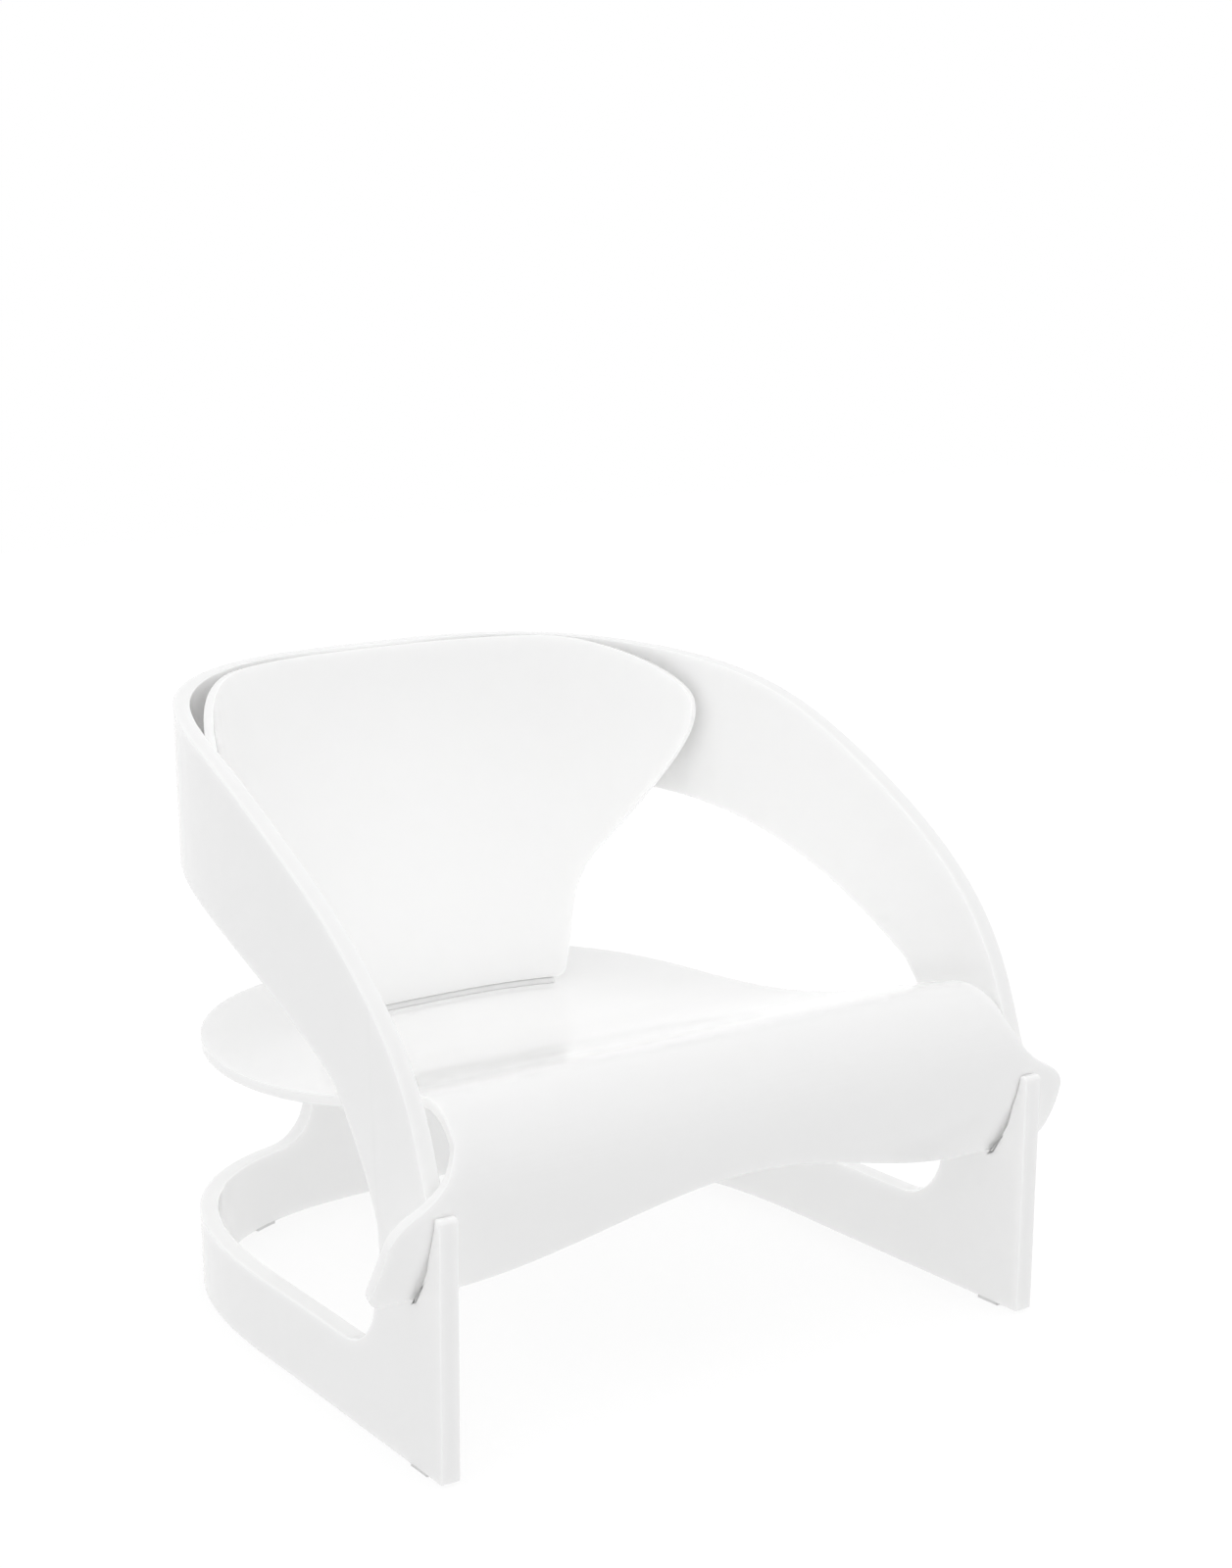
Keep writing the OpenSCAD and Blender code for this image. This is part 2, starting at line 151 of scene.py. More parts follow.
# Arm hoop, its upper and lower edges in side view. Behind the split their heights are taken from
# the depth along the bent wall.
HOOP_TOP = 580.0
HOOP_TOP_TURN = (7.2, 0.448, 0)
ARM_BEND = Vector((291.0, 507.5))
ARM_BEND_TURN = (23.6, 0.729, 0.343)
ARM_LEAVE_DROP = 9.0
ARM_LEAVE_TURN = (67.5, 0, 0.2)
ARM_FOOT_REAR = 91.5
ARM_FOOT_RISE = 36.0
ARM_FOOT_TURN = (95, 0, 0.2)
ARM_POINT_GAP = 0.5
UNDER_BEND = Vector((166.5, 307.0))
UNDER_BEND_TURN = (29, 0.1, 0.5)
HOOP_BOTTOM = 428.0
HOOP_BOTTOM_TURN = (7.5, 0.12, 0)
HOOP_SPLIT = 120

# Back panel, its outline in front view and its plan
PANEL_SHEET = 9.0
PANEL_LEAN = math.radians(17.6)
PANEL_FOOT = 240.0
PANEL_TOP = 578.0
PANEL_FOOT_HALF = 139.0
PANEL_FOOT_CORNER = 12.0
PANEL_FOOT_TURN = (68, 0, 0.355)
PANEL_FOOT_STEPS = 12
PANEL_HIP = Vector((186.5, 364.5))
PANEL_HIP_TURN = (48.5, 0.42, 0.25)
PANEL_HALF = 262.5
PANEL_HALF_TURN = (90, 0.292, 0)
PANEL_TOP_HALF = 164.0
PANEL_TOP_STEPS = 16
PANEL_CORNER = 62.0
PANEL_SPAN = 310.0
PANEL_SPARE = 20
PANEL_ROUND = 501.0
PANEL_SQUARE = 2.8
# Tongue that carries the back panel: it stands near the panel's rear face and ends in the seat. It
# hardly enters the panel, because a shell inside another one turns the sheet's sunken light black.
TONGUE_HALF = 125.0
TONGUE_SHEET = 5.0
TONGUE_EDGE = 0.5
TONGUE_DOWN = 12.0
TONGUE_UP = 0.8
TONGUE_BACK = 1.2
TONGUE_STEPS = 12


# Lines and curves in a plane

def aim(degrees):
    """Direction at an angle."""
    return Vector((math.cos(math.radians(degrees)), math.sin(math.radians(degrees))))


def arc(centre, radius, start, end, steps=10):
    """Points round a circle from one angle to another."""
    return [centre + radius * aim(start + (end - start) * i / steps) for i in range(steps + 1)]


def curve_through(*knots):
    """Smooth curve through points that each have a turn, with a point every few mm."""
    curve = [knots[0][0]]
    for (a, (a_angle, _, a_pull)), (d, (d_angle, d_pull, _)) in zip(knots, knots[1:]):
        way = (d - a).length
        b = a + way * a_pull * aim(a_angle)
        c = d - way * d_pull * aim(d_angle)
        steps = max(6, round(way / STEP))
        for i in range(1, steps + 1):
            t = i / steps
            s = 1 - t
            curve.append(s * s * s * a + 3 * s * s * t * b + 3 * s * t * t * c + t * t * t * d)
    return curve


def quarter(half, depth, square, steps=QUARTER_STEPS):
    """Quarter of a superellipse, from its side to its rear."""
    turns = [math.pi / 2 * i / steps for i in range(steps)]
    points = [Vector((half * math.cos(a) ** (2 / square), depth * math.sin(a) ** (2 / square)))
              for a in turns]
    return points + [Vector((0, depth))]


def height_at(curve, across):
    """Second coordinate of a curve where its first one reaches a value."""
    for a, b in zip(curve, curve[1:]):
        if a.x <= across <= b.x:
            return a.y + (b.y - a.y) * (across - a.x) / max(b.x - a.x, 1e-9)
    return curve[0].y if across < curve[0].x else curve[-1].y


class Line:
    """A line that a sheet is bent along, measured by its own length."""

    def __init__(self, points):
        self.points = points
        self.lengths = [0.0]
        for a, b in zip(points, points[1:]):
            self.lengths.append(self.lengths[-1] + (b - a).length)
        last = len(points) - 1
        self.ways = [(points[min(i + 1, last)] - points[max(i - 1, 0)]).normalized()
                     for i in range(last + 1)]

    def at(self, length):
        """Point of the line and its direction there; past the ends it runs on straight."""
        if length <= 0:
            return self.points[0] + length * self.ways[0], self.ways[0]
        if length >= self.lengths[-1]:
            over = length - self.lengths[-1]
            return self.points[-1] + over * self.ways[-1], self.ways[-1]
        low, high = 0, len(self.lengths) - 1
        while high - low > 1:
            middle = (low + high) // 2
            if self.lengths[middle] <= length:
                low = middle
            else:
                high = middle
        share = (length - self.lengths[low]) / (self.lengths[high] - self.lengths[low])
        way = self.ways[low].lerp(self.ways[high], share).normalized()
        return self.points[low].lerp(self.points[high], share), way

    def length_where(self, axis, value):
        """Length at which one coordinate, which rises or falls along the line, has a value."""
        for i, (a, b) in enumerate(zip(self.points, self.points[1:])):
            if min(a[axis], b[axis]) <= value <= max(a[axis], b[axis]) and a[axis] != b[axis]:
                share = (value - a[axis]) / (b[axis] - a[axis])
                return self.lengths[i] + share * (self.lengths[i + 1] - self.lengths[i])
        end = 0 if abs(self.points[0][axis] - value) < abs(self.points[-1][axis] - value) else -1
        rate = self.ways[end][axis]
        return self.lengths[end] + (value - self.points[end][axis]) / rate

    def beside(self, distance):
        """The points at a distance to the left of the line."""
        return [p + distance * Vector((-w.y, w.x)) for p, w in zip(self.points, self.ways)]


def mirrored(half, axis):
    """Half outline with its mirror image, where the given coordinate changes sign."""
    flip = Vector((-1, 1)) if axis == 0 else Vector((1, -1))
    other = [Vector((p.x * flip.x, p.y * flip.y)) for p in reversed(half)]
    closed = list(half)
    for p in other:
        if min((p - closed[-1]).length, (p - closed[0]).length) > SAME_POINT:
            closed.append(p)
    return closed


def soften(outline, radius):
    """The closed outline with each sharp corner rounded."""
    count = len(outline)
    result = []
    dropped = set()
    corners = {}
    for i in range(count):
        back = outline[i] - outline[i - 1]
        ahead = outline[(i + 1) % count] - outline[i]
        turn = abs(back.angle_signed(ahead))
        if math.degrees(turn) < SHARP:
            continue
        reach = min(radius * math.tan(turn / 2), radius * 2)
        ends = []
        for side in (-1, 1):
            left, k, here = reach, i, outline[i]
            while True:
                nearby = outline[(k + side) % count]
                piece = (nearby - here).length
                if piece > left:
                    ends.append(here.lerp(nearby, left / piece))
                    break
                left -= piece
                k, here = (k + side) % count, nearby
                dropped.add(k)
        corners[i] = ends
    for i in range(count):
        if i in corners:
            a, b = corners[i]
            for j in range(CORNER_STEPS + 1):
                t = j / CORNER_STEPS
                result.append((1 - t) ** 2 * a + 2 * t * (1 - t) * outline[i] + t * t * b)
        elif i not in dropped:
            result.append(outline[i])
    return result


# Sheets, cut flat and then bent

def cut_sheet(outline, thickness, edge, spacing):
    """Flat sheet with rounded edges, scored across every few mm so that it can bend."""
    flat = bmesh.new()
    face = flat.faces.new([flat.verts.new((p.x, p.y, 0)) for p in outline])
    grown = bmesh.ops.extrude_face_region(flat, geom=[face])
    raised = [v for v in grown["geom"] if isinstance(v, bmesh.types.BMVert)]
    bmesh.ops.translate(flat, verts=raised, vec=(0, 0, thickness))
    bmesh.ops.recalc_face_normals(flat, faces=flat.faces)
    caps = sorted(flat.faces, key=lambda f: f.calc_area())[-2:]
    rims = [e for cap in caps for e in cap.edges]
    bmesh.ops.bevel(flat, geom=rims, offset=edge, offset_type="OFFSET", segments=EDGE_SEGMENTS,
                    profile=0.5, affect="EDGES", material=-1, clamp_overlap=False)
    low = min(p.x for p in outline)
    high = max(p.x for p in outline)
    scores = math.ceil((high - low) / spacing)
    for i in range(1, scores):
        at = low + (high - low) * i / scores
        everything = flat.verts[:] + flat.edges[:] + flat.faces[:]
        bmesh.ops.bisect_plane(flat, geom=everything, dist=SCORE_REACH, plane_co=(at, 0, 0),
                               plane_no=(1, 0, 0))
    return flat


def finish_piece(name, parts, material, node):
    """One object from flat sheets that are bent into place, instead of its plain solid."""
    mesh = bpy.data.meshes.new(name)
    whole = bmesh.new()
    for sheet, place in parts:
        for vertex in sheet.verts:
            vertex.co = place(vertex.co) * MM
        bmesh.ops.recalc_face_normals(sheet, faces=sheet.faces)
        inside_out = sheet.calc_volume(signed=True) < 0
        if inside_out:
            bmesh.ops.reverse_faces(sheet, faces=sheet.faces)
        sheet.to_mesh(mesh)
        whole.from_mesh(mesh)
        sheet.free()
    for face in whole.faces:
        face.smooth = True
    whole.to_mesh(mesh)
    whole.free()
    mesh.materials.append(material)
    piece = bpy.data.objects.new(name, mesh)
    bpy.context.scene.collection.objects.link(piece)
    shading = piece.modifiers.new("even shading", "WEIGHTED_NORMAL")
    shading.mode = "FACE_AREA"
    shading.weight = 50
    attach(piece, "root")
    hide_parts(node)


# The lines that the four sheets are bent along

def wall_line(half, straight, taper, depth, square, front):
    """Plan of an upright horseshoe wall, along its outer face, from the right front round."""
    side = [Vector((half - y * math.tan(taper), y)) for y in (front, 0.0, straight / 2)]
    rear = [p + Vector((0, straight)) for p in
            quarter(half - straight * math.tan(taper), depth - straight, square)]
    right = side + rear
    return Line(right + [Vector((-p.x, p.y)) for p in reversed(right[:-1])])


base_line = wall_line(BASE_HALF, BASE_STRAIGHT, BASE_TAPER, BASE_DEPTH, BASE_SQUARE, BASE_AHEAD)
hoop_line = wall_line(ARM_HALF, ARM_STRAIGHT, 0.0, HOOP_REAR, HOOP_SQUARE, 0.0)

# The seat's front face runs on straight past the apron's lower edge
apron_end = APRON_LOW - APRON_PAST * aim(APRON_LOW_TURN[0])
roll_size = CREST - ROLL_FRONT
roll = [Vector((CREST.x + roll_size.x * aim(turn).x, ROLL_FRONT.y + roll_size.y * aim(turn).y))
        for turn in range(180 - ROLL_TURN, 90, -ROLL_TURN)]
seat_front = ([apron_end] + curve_through((APRON_LOW, APRON_LOW_TURN), (ROLL_FRONT, ROLL_FRONT_TURN))
              + roll)
tail_end = Vector((SEAT_REAR + FIT, TAIL_HEIGHT))
seat_top = curve_through((CREST, CREST_TURN), (DIP, DIP_TURN), (tail_end, TAIL_TURN))
seat_line = Line(seat_front + seat_top)
seat_top_line = Line(seat_top)

panel_quarter = [Vector((p.x, p.y - PANEL_ROUND)) for p in
                 quarter(PANEL_SPAN, PANEL_ROUND, PANEL_SQUARE)]
panel_right = [p for p in panel_quarter if p.x < PANEL_HALF + PANEL_SPARE]
panel_line = Line([Vector((-p.x, p.y)) for p in panel_right] + list(reversed(panel_right[:-1])))
panel_place = (HOOP_REAR - ARM_WALL - FIT - PANEL_SHEET / math.cos(PANEL_LEAN)
               - (PANEL_TOP - PANEL_FOOT) * math.tan(PANEL_LEAN))


# Upright walls

def place_wall(line, inset=0.0):
    """Bends a flat sheet, measured from the rear middle, into an upright wall."""
    half = line.lengths[-1] / 2

    def place(p):
        spot, way = line.at(half + p.x)
        inner = spot + (p.z + inset) * Vector((-way.y, way.x))
        return Vector((inner.x, inner.y - MIDDLE, p.y))
    return place


place_full_hoop = place_wall(hoop_line)


def place_hoop(p):
    """Bends the flat hoop upright, drawn in at its feet and at full width above."""
    spot = place_full_hoop(p)
    share = max(0.0, min(1.0, (spot.z - SPREAD_START) / SPREAD))
    eased = share * share * (3 - 2 * share)
    spot.x *= 1 - ARM_DRAW / ARM_HALF * (1 - eased)
    return spot


def from_rear(line, depth):
    """Length from the rear middle forward to where a wall's side has a depth."""
    return line.lengths[-1] / 2 - line.length_where(1, depth)


def wall_edge(line, curve, split):
    """Edge of a wall from its front to its rear middle, from a curve in depth and height."""
    near = [Vector((from_rear(line, p.x), p.y)) for p in curve if p.x < split]
    start = from_rear(line, split)
    steps = math.ceil(start / STEP)
    half = line.lengths[-1] / 2
    far = []
    for i in range(steps + 1):
        length = start * (1 - i / steps)
        far.append(Vector((length, height_at(curve, line.at(half - length)[0].y))))
    return near + far


def slot_width(height):
    """Width of the leg's slot ahead of the apron: tight at its top, open lower down."""
    middle = (APRON_LOW.y + LEG_HEIGHT) / 2
    share = max(0.0, min(1.0, (middle - height) / SLOT_RAMP + 0.5))
    return FIT + (SLOT_GAP - FIT) * (1 - math.cos(math.pi * share)) / 2


def base_outline():
    """Flat base wall: rear neck, low wall, and legs with a prong ahead of the apron."""
    shoulder = APRON_LOW.y - FIT
    prong = [Vector((p.x - slot_width(p.y), p.y)) for p in seat_front
             if shoulder < p.y < LEG_HEIGHT - PRONG_CORNER]
    rear_top = Vector((prong[-1].x - PRONG_CORNER, LEG_HEIGHT - PRONG_CORNER))
    front_top = Vector((LEG_CORNER - LEG_LEAN, LEG_HEIGHT - LEG_CORNER))
    neck_top = height_at(seat_top, BASE_DEPTH - BASE_WALL) - SEAT_SHEET - 2 * FIT
    corner = Vector((LEG_DEPTH + LEG_FILLET, LOW_WALL + LEG_FILLET))
    leg = ([Vector((0, PAD_THICK))] + arc(front_top, LEG_CORNER, 180, 90)
           + arc(rear_top, PRONG_CORNER, 90, 0) + list(reversed(prong))
           + [Vector((prong[0].x, shoulder)), Vector((LEG_DEPTH, shoulder))]
           + arc(corner, LEG_FILLET, 180, 270, steps=24))
    half_length = base_line.lengths[-1] / 2
    neck_corner = Vector((NECK_HALF + NECK_FILLET, LOW_WALL + NECK_FILLET))
    neck = [Vector((base_line.length_where(0, -p.x) - half_length, p.y))
            for p in arc(neck_corner, NECK_FILLET, 270, 180, steps=20)]
    half = ([Vector((0, PAD_THICK))]
            + [Vector((from_rear(base_line, p.x), p.y)) for p in leg]
            + neck + [Vector((neck[-1].x, neck_top)), Vector((0, neck_top))])
    return soften(mirrored(half, 0), OUTLINE_CORNER)


def hoop_outline():
    """Flat arm hoop, whose feet follow the inner face of the apron."""
    behind = Line(Line(seat_front).beside(-SEAT_SHEET - FIT))
    leave = ROLL_FRONT.y - ARM_LEAVE_DROP
    foot = [p for p in behind.points if APRON_LOW.y < p.y < leave - ARM_POINT_GAP]
    foot_top = behind.at(behind.length_where(1, leave))[0]
    top_end = Vector((HOOP_REAR + FIT, HOOP_TOP))
    top = foot + curve_through((foot_top, ARM_LEAVE_TURN), (ARM_BEND, ARM_BEND_TURN),
                               (top_end, HOOP_TOP_TURN))
    foot_rear = Vector((ARM_FOOT_REAR, APRON_LOW.y))
    foot_front = Vector((foot[0].x, APRON_LOW.y))
    under_end = Vector((HOOP_REAR + FIT, HOOP_BOTTOM))
    under = curve_through((foot_rear + Vector((0, ARM_FOOT_RISE)), ARM_FOOT_TURN),
                          (UNDER_BEND, UNDER_BEND_TURN), (under_end, HOOP_BOTTOM_TURN))
    split = HOOP_REAR - HOOP_SPLIT
    half = (list(reversed(wall_edge(hoop_line, under, split)))
            + [Vector((from_rear(hoop_line, p.x), p.y)) for p in (foot_rear, foot_front)]
            + wall_edge(hoop_line, top, split))
    return soften(mirrored(half, 0), OUTLINE_CORNER)


# Seat

def length_at_depth(depth):
    """Length along the whole seat section at a depth behind its highest line."""
    crest = seat_line.lengths[len(seat_front)]
    return crest + seat_top_line.length_where(0, depth)


def seat_outline():
    """Flat seat sheet: arched apron, ears, waist and rounded rear."""
    arch = [Vector((ARCH_HALF * i / ARCH_STEPS, 0)) for i in range(ARCH_STEPS + 1)]
    arch = [Vector((p.x, APRON_LOW.y + ARCH_RISE * (1 + math.cos(math.pi * p.x / ARCH_HALF)) / 2))
            for p in arch]
    corner = Vector((EAR_HALF - EAR_CORNER, APRON_LOW.y + EAR_CORNER))
    ear_low = Vector((EAR_HALF, APRON_LOW.y + EAR_CORNER))
    ear = (arc(corner, EAR_CORNER, -90, 0)
           + curve_through((ear_low, EAR_LOW_TURN), (EAR_HIGH, EAR_HIGH_TURN),
                           (EAR_TOP, EAR_TOP_TURN), (ROLL_SIDE, ROLL_SIDE_TURN),
                           (ROLL_OVER, ROLL_OVER_TURN))[1:])
    front = [Vector((seat_line.length_where(1, p.y), p.x)) for p in arch + ear]
    sides = (curve_through((Vector((CREST_HALF, CREST.x)), CREST_HALF_TURN), (WAIST, WAIST_TURN),
                           (Vector((REAR_HALF, SEAT_STRAIGHT)), REAR_HALF_TURN))
             + [p + Vector((0, SEAT_STRAIGHT)) for p in
                quarter(REAR_HALF, SEAT_REAR - SEAT_STRAIGHT, SEAT_SQUARE, REAR_STEPS)[1:]])
    rear = [Vector((length_at_depth(p.y), p.x)) for p in sides]
    return soften(mirrored(front + rear, 1), OUTLINE_CORNER)


def place_seat(p):
    """Bends the flat seat sheet into its section, thickness downwards and rearwards."""
    spot, way = seat_line.at(p.x)
    inner = spot - p.z * Vector((-way.y, way.x))
    return Vector((p.y, inner.x - MIDDLE, inner.y))


# Back panel

def place_panel(p):
    """Bends the flat panel into its plan curve and leans it back."""
    spot, way = panel_line.at(panel_line.lengths[-1] / 2 + p.x)
    deep = spot + p.z * Vector((-way.y, way.x))
    depth = panel_place + deep.y * math.cos(PANEL_LEAN) + p.y * math.sin(PANEL_LEAN)
    height = PANEL_FOOT + p.y * math.cos(PANEL_LEAN) - deep.y * math.sin(PANEL_LEAN)
    return Vector((deep.x, depth - MIDDLE, height))


def panel_point(across, height):
    """Point of the flat panel that comes to a width and a height, seen from the front."""
    length = panel_line.length_where(0, across)
    depth = panel_line.at(length)[0].y
    rise = (height - PANEL_FOOT + depth * math.sin(PANEL_LEAN)) / math.cos(PANEL_LEAN)
    return Vector((length - panel_line.lengths[-1] / 2, rise))


def panel_outline():
    """Flat back panel: narrow foot just over the seat, flared sides and a straight top."""
    foot_corner = Vector((PANEL_FOOT_HALF - PANEL_FOOT_CORNER, PANEL_FOOT + PANEL_FOOT_CORNER))
    foot = [Vector((foot_corner.x * i / PANEL_FOOT_STEPS, PANEL_FOOT))
            for i in range(PANEL_FOOT_STEPS)]
    corner = arc(foot_corner, PANEL_FOOT_CORNER, -90, PANEL_FOOT_TURN[0] - 90, steps=8)
    top_start = PANEL_TOP - PANEL_CORNER
    side = curve_through((corner[-1], PANEL_FOOT_TURN), (PANEL_HIP, PANEL_HIP_TURN),
                         (Vector((PANEL_HALF, top_start)), PANEL_HALF_TURN))
    shoulder = [Vector((PANEL_TOP_HALF + (PANEL_HALF - PANEL_TOP_HALF) * aim(turn).x,
                        top_start + PANEL_CORNER * aim(turn).y))
                for turn in range(PANEL_TURN, 90 + PANEL_TURN, PANEL_TURN)]
    top = [Vector((PANEL_TOP_HALF * (1 - i / PANEL_TOP_STEPS), PANEL_TOP))
           for i in range(1, PANEL_TOP_STEPS + 1)]
    front = foot + corner + side[1:] + shoulder + top
    return soften(mirrored([panel_point(p.x, p.y) for p in front], 0), OUTLINE_CORNER)


def tongue_outline():
    """Flat tongue, from inside the seat up to the panel."""
    low = PANEL_FOOT - TONGUE_DOWN
    high = PANEL_FOOT + TONGUE_UP
    across = [TONGUE_HALF * i / TONGUE_STEPS for i in range(TONGUE_STEPS + 1)]
    half = [panel_point(x, low) for x in across] + [panel_point(x, high) for x in reversed(across)]
    return mirrored(half, 0)


def place_tongue(p):
    """Bends the flat tongue along with the panel, just inside the panel's rear face."""
    return place_panel(p + Vector((0, 0, PANEL_SHEET - TONGUE_SHEET - TONGUE_BACK)))


# Glide pads

def pad_outline(start, end):
    """Side view of a pad between two lengths along the base wall."""
    return [Vector((start, 0)), Vector((end, 0)), Vector((end, PAD_THICK)),
            Vector((start, PAD_THICK))]


def front_pad():
    """Lengths, from the rear middle, between which the front pads lie."""
    return [from_rear(base_line, FRONT_PAD_PLACE + PAD_LENGTH), from_rear(base_line, FRONT_PAD_PLACE)]


def rear_pad():
    """Lengths, from the rear middle, between which the rear pads lie."""
    half = base_line.lengths[-1] / 2
    return [base_line.length_where(0, -across) - half
            for across in (REAR_PAD_PLACE, REAR_PAD_PLACE + PAD_LENGTH)]


# Materials

def linear(hex_colour):
    """Linear colour from an sRGB hex value."""
    channels = [int(hex_colour[i:i + 2], 16) / 255 for i in (1, 3, 5)]
    return [c / 12.92 if c <= 0.04045 else ((c + 0.055) / 1.055) ** 2.4 for c in channels] + [1]


def add_node(tree, kind, sockets=None, links=None, **settings):
    """A node with its settings, its socket values and the outputs that feed it."""
    node = tree.nodes.new(kind)
    for key, value in settings.items():
        setattr(node, key, value)
    for key, value in (sockets or {}).items():
        node.inputs[key].default_value = value
    for key, output in (links or {}).items():
        tree.links.new(output, node.inputs[key])
    return node


def cleared_tree(holder):
    """The empty node tree of a material or a world."""
    holder.use_nodes = True
    holder.node_tree.nodes.clear()
    return holder.node_tree


def cast_acrylic():
    """Glossy white opal sheet, bent warm over a form: light sinks a little way into it, and
    its clear shine runs in slow, faint waves."""
    material = bpy.data.materials.new("white bent sheet plastic")
    tree = cleared_tree(material)
    place = add_node(tree, "ShaderNodeTexCoord").outputs["Object"]
    wave_size = 110 * MM
    haze_size = 45 * MM
    sink = 5 * MM
    wave = add_node(tree, "ShaderNodeTexNoise", {"Scale": 1 / wave_size, "Detail": 0.0},
                    {"Vector": place})
    haze = add_node(tree, "ShaderNodeTexNoise", {"Scale": 1 / haze_size, "Detail": 3.0},
                    {"Vector": place})
    gloss = add_node(tree, "ShaderNodeMapRange",
                     {"From Min": 0.3, "From Max": 0.7, "To Min": 0.04, "To Max": 0.08},
                     {"Value": haze.outputs["Fac"]})
    tone = add_node(tree, "ShaderNodeMix", {"A": linear("#F5F5F5"), "B": linear("#F7F7F6")},
                    {"Factor": haze.outputs["Fac"]}, data_type="RGBA")
    swell = add_node(tree, "ShaderNodeBump", {"Strength": 0.3, "Distance": 0.4 * MM},
                     {"Height": wave.outputs["Fac"]})
    shader = add_node(tree, "ShaderNodeBsdfPrincipled",
                      {"IOR": 1.49, "Subsurface Weight": 1.0, "Subsurface Radius": (1, 1, 1),
                       "Subsurface Scale": sink},
                      {"Roughness": gloss.outputs["Result"], "Base Color": tone.outputs[2],
                       "Normal": swell.outputs["Normal"]})
    add_node(tree, "ShaderNodeOutputMaterial", None, {"Surface": shader.outputs["BSDF"]})
    return material


def moulded_nylon():
    """Matt pale glide pads with the fine grain of a moulded nylon face."""
    material = bpy.data.materials.new("pale moulded nylon")
    tree = cleared_tree(material)
    place = add_node(tree, "ShaderNodeTexCoord").outputs["Object"]
    grain_size = 0.8 * MM
    grain = add_node(tree, "ShaderNodeTexNoise", {"Scale": 1 / grain_size, "Detail": 2.0},
                     {"Vector": place})
    rough = add_node(tree, "ShaderNodeMapRange", {"To Min": 0.5, "To Max": 0.7},
                     {"Value": grain.outputs["Fac"]})
    bump = add_node(tree, "ShaderNodeBump", {"Strength": 0.4, "Distance": 0.1 * MM},
                    {"Height": grain.outputs["Fac"]})
    shader = add_node(tree, "ShaderNodeBsdfPrincipled",
                      {"Base Color": linear("#DADADA"), "IOR": 1.53},
                      {"Roughness": rough.outputs["Result"], "Normal": bump.outputs["Normal"]})
    add_node(tree, "ShaderNodeOutputMaterial", None, {"Surface": shader.outputs["BSDF"]})
    return material


white_plastic = cast_acrylic()
pad_plastic = moulded_nylon()

wall = cut_sheet(base_outline(), BASE_WALL, THICK_EDGE, WALL_SCORE)
finish_piece("base_frame_sheet", [(wall, place_wall(base_line))], white_plastic,
             "base_frame")
hoop = cut_sheet(hoop_outline(), ARM_WALL, THICK_EDGE, WALL_SCORE)
finish_piece("arm_hoop_sheet", [(hoop, place_hoop)], white_plastic, "arm_hoop")
seat = cut_sheet(seat_outline(), SEAT_SHEET, THIN_EDGE, SEAT_SCORE)
finish_piece("seat_sheet", [(seat, place_seat)], white_plastic, "seat_shell")
panel = cut_sheet(panel_outline(), PANEL_SHEET, THIN_EDGE, PANEL_SCORE)
tongue = cut_sheet(tongue_outline(), TONGUE_SHEET, TONGUE_EDGE, PANEL_SCORE)
finish_piece("back_panel_sheet", [(panel, place_panel), (tongue, place_tongue)], white_plastic,
             "back_panel")

for name, lengths in (("front", front_pad()), ("rear", rear_pad())):
    for side, sign in (("left", 1), ("right", -1)):
        ends = sorted(sign * length for length in lengths)
        pad = cut_sheet(soften(pad_outline(*ends), PAD_EDGE), BASE_WALL - 2 * PAD_INSET, PAD_EDGE,
                        WALL_SCORE)
        finish_piece(f"glide_{name}_{side}_pad", [(pad, place_wall(base_line, PAD_INSET))],
                     pad_plastic, f"glide_{name}_{side}")

# Floor and light, in metres

FLOOR_HALF = 6
floor_shape = bmesh.new()
bmesh.ops.create_grid(floor_shape, x_segments=1, y_segments=1, size=FLOOR_HALF)
floor_mesh = bpy.data.meshes.new("floor")
floor_shape.to_mesh(floor_mesh)
floor_shape.free()
floor = bpy.data.objects.new("floor", floor_mesh)
bpy.context.scene.collection.objects.link(floor)

# Strength of the surroundings and of the lit floor, as light on the chair: straight from them, and
# after some bounces between the sheets. The higher value there stands for the further bounces that
# are left out, which fill the hollows of a white chair.
WORLD_LIGHT = 0.58
FLOOR_LIGHT = 0.6
BOUNCED_LIGHT = 1.5
BOUNCES = 3.0
# Glow of the floor to the eye, in the open and where the chair closes it in within the reach; the
# dimmer glow there is a painted shadow under the chair. The light on its paper adds the rest up to
# white.
FLOOR_SEEN = 0.89
FLOOR_SHADE = 0.79
SHADE_REACH = 0.4
# What the soft boxes face, over the floor
LAMP_TARGET = (0, 0, 0.3)


def fuller_light(tree, rays, straight, first):
    """Strength that grows with each bounce of the light, from its straight value at the first."""
    grown = add_node(tree, "ShaderNodeMapRange", {"From Min": first, "From Max": first + BOUNCES,
                     "To Min": straight, "To Max": BOUNCED_LIGHT},
                     {"Value": rays.outputs["Diffuse Depth"]})
    return grown.outputs["Result"]


def seen_rays(tree, rays):
    """1 for what the eye, the shine and clear parts see, and 0 for light on the chair."""
    seen = rays.outputs["Is Camera Ray"]
    for kind in ("Is Glossy Ray", "Is Transmission Ray"):
        either = add_node(tree, "ShaderNodeMath", None, {0: seen, 1: rays.outputs[kind]},
                          operation="MAXIMUM")
        seen = either.outputs["Value"]
    return seen


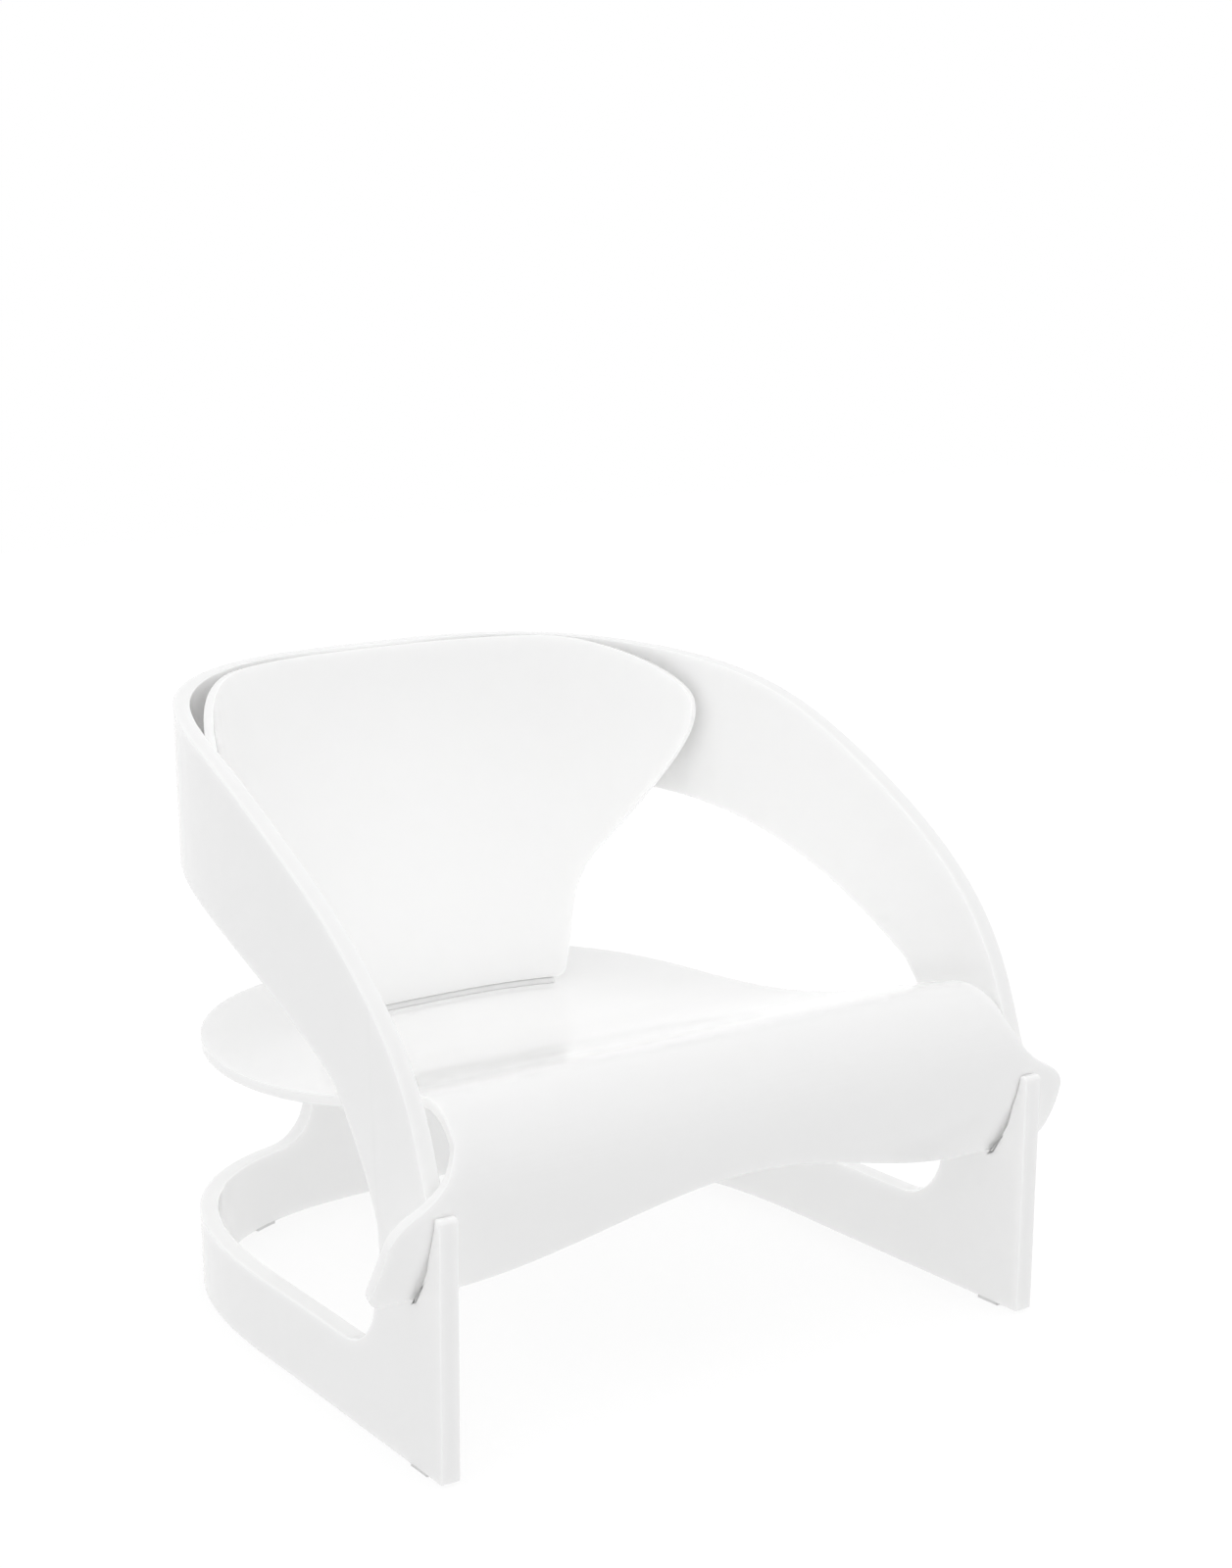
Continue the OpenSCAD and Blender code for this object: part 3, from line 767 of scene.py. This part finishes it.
def paper_floor():
    """White studio floor: the eye sees it as plain white with a faint shadow, partly real from the
    light on its paper and partly painted into its glow. Its light reaches the chair only after one
    bounce, so that is where its straight value holds."""
    material = bpy.data.materials.new("white paper floor")
    tree = cleared_tree(material)
    matt = add_node(tree, "ShaderNodeBsdfDiffuse", {"Color": linear("#707070")})
    rays = add_node(tree, "ShaderNodeLightPath")
    # Painted shadow: the floor's glow to the eye dims where the chair hides its surroundings.
    closed_in = add_node(tree, "ShaderNodeAmbientOcclusion", {"Distance": SHADE_REACH}, samples=4)
    white = add_node(tree, "ShaderNodeMapRange", {"To Min": FLOOR_SHADE, "To Max": FLOOR_SEEN},
                     {"Value": closed_in.outputs["AO"]})
    strength = add_node(tree, "ShaderNodeMapRange", None,
                        {"Value": seen_rays(tree, rays),
                         "To Min": fuller_light(tree, rays, FLOOR_LIGHT, 1.0),
                         "To Max": white.outputs["Result"]})
    glow = add_node(tree, "ShaderNodeEmission", None, {"Strength": strength.outputs["Result"]})
    paper = add_node(tree, "ShaderNodeAddShader", None,
                     {0: matt.outputs["BSDF"], 1: glow.outputs["Emission"]})
    add_node(tree, "ShaderNodeOutputMaterial", None, {"Surface": paper.outputs["Shader"]})
    return material


def white_world():
    """White all round to the eye and in reflections, softer as light on the chair."""
    world = bpy.data.worlds.new("white studio")
    tree = cleared_tree(world)
    rays = add_node(tree, "ShaderNodeLightPath")
    strength = add_node(tree, "ShaderNodeMapRange", {"To Max": 1.0},
                        {"Value": seen_rays(tree, rays),
                         "To Min": fuller_light(tree, rays, WORLD_LIGHT, 0.0)})
    light = add_node(tree, "ShaderNodeBackground", {"Color": (1, 1, 1, 1)},
                     {"Strength": strength.outputs["Result"]})
    add_node(tree, "ShaderNodeOutputWorld", None, {"Surface": light.outputs["Background"]})
    return world


def soft_lamp(name, place, size, watts):
    """Square soft box that faces the chair, and that the shine doesn't show."""
    lamp = bpy.data.lights.new(name, "AREA")
    lamp.shape = "SQUARE"
    lamp.size = size
    lamp.energy = watts
    lamp_object = bpy.data.objects.new(name, lamp)
    bpy.context.scene.collection.objects.link(lamp_object)
    way = Vector(LAMP_TARGET) - Vector(place)
    lamp_object.location = place
    lamp_object.rotation_euler = way.to_track_quat("-Z", "Y").to_euler()
    lamp_object.visible_glossy = False


floor_mesh.materials.append(paper_floor())
bpy.context.scene.world = white_world()
soft_lamp("overhead box", place=(0.3, -0.2, 2.6), size=2.2, watts=2.5)
soft_lamp("left box", place=(-1.2, -0.9, 2.3), size=2.0, watts=4)

# Camera, from a fit to the chair's edges in the photograph
EYE = Vector((-1351.2, -1827.78 - MIDDLE, 1008.17)) * MM
EYE_TURN = math.radians(-33.653)
EYE_TILT = math.radians(11.631)
EYE_ROLL = math.radians(-1.074)
LENS_PIXELS = 2865.16
LONG_SIDE = 1600
SENSOR = 36

ahead = Vector((-math.sin(EYE_TURN) * math.cos(EYE_TILT), math.cos(EYE_TURN) * math.cos(EYE_TILT),
                -math.sin(EYE_TILT)))
level = Vector((math.cos(EYE_TURN), math.sin(EYE_TURN), 0))
upright = level.cross(ahead)
right = math.cos(EYE_ROLL) * level + math.sin(EYE_ROLL) * upright
up = math.cos(EYE_ROLL) * upright - math.sin(EYE_ROLL) * level
camera_data = bpy.data.cameras.new("camera")
camera_data.sensor_width = SENSOR
camera_data.lens = LENS_PIXELS / LONG_SIDE * SENSOR
camera = bpy.data.objects.new("camera", camera_data)
camera.matrix_world = Matrix.Translation(EYE) @ Matrix((right, up, -ahead)).transposed().to_4x4()
bpy.context.scene.collection.objects.link(camera)
bpy.context.scene.camera = camera

bpy.context.scene.view_settings.view_transform = "Standard"
